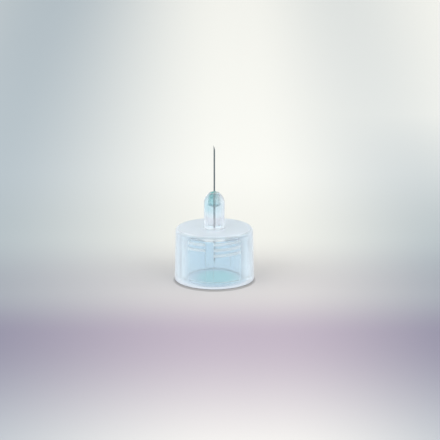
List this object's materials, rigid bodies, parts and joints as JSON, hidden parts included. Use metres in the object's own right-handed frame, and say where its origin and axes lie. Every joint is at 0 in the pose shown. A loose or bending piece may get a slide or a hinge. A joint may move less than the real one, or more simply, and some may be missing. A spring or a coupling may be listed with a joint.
{
  "type": "pen needle",
  "caption": "Screw-on needle for an injection pen: a fine double-ended steel cannula glued into the nozzle of a translucent threaded hub.",
  "frame": {"origin": "centre of the open rim that the hub stands on", "axes": "+Z along the cannula towards its front point; +X to the right as the picture sees it, and the picture's camera looks along +Y"},
  "size_m": [0.0132, 0.0132, 0.0227],
  "materials": {
    "translucent_hub": "satin translucent pale blue moulding",
    "cannula_steel": "polished drawn tube",
    "tinted_adhesive": "clear teal, cured"
  },
  "bodies": {
    "root": {"hub": "translucent_hub", "cannula": "cannula_steel", "adhesive": "tinted_adhesive"}
  },
  "joints": []
}
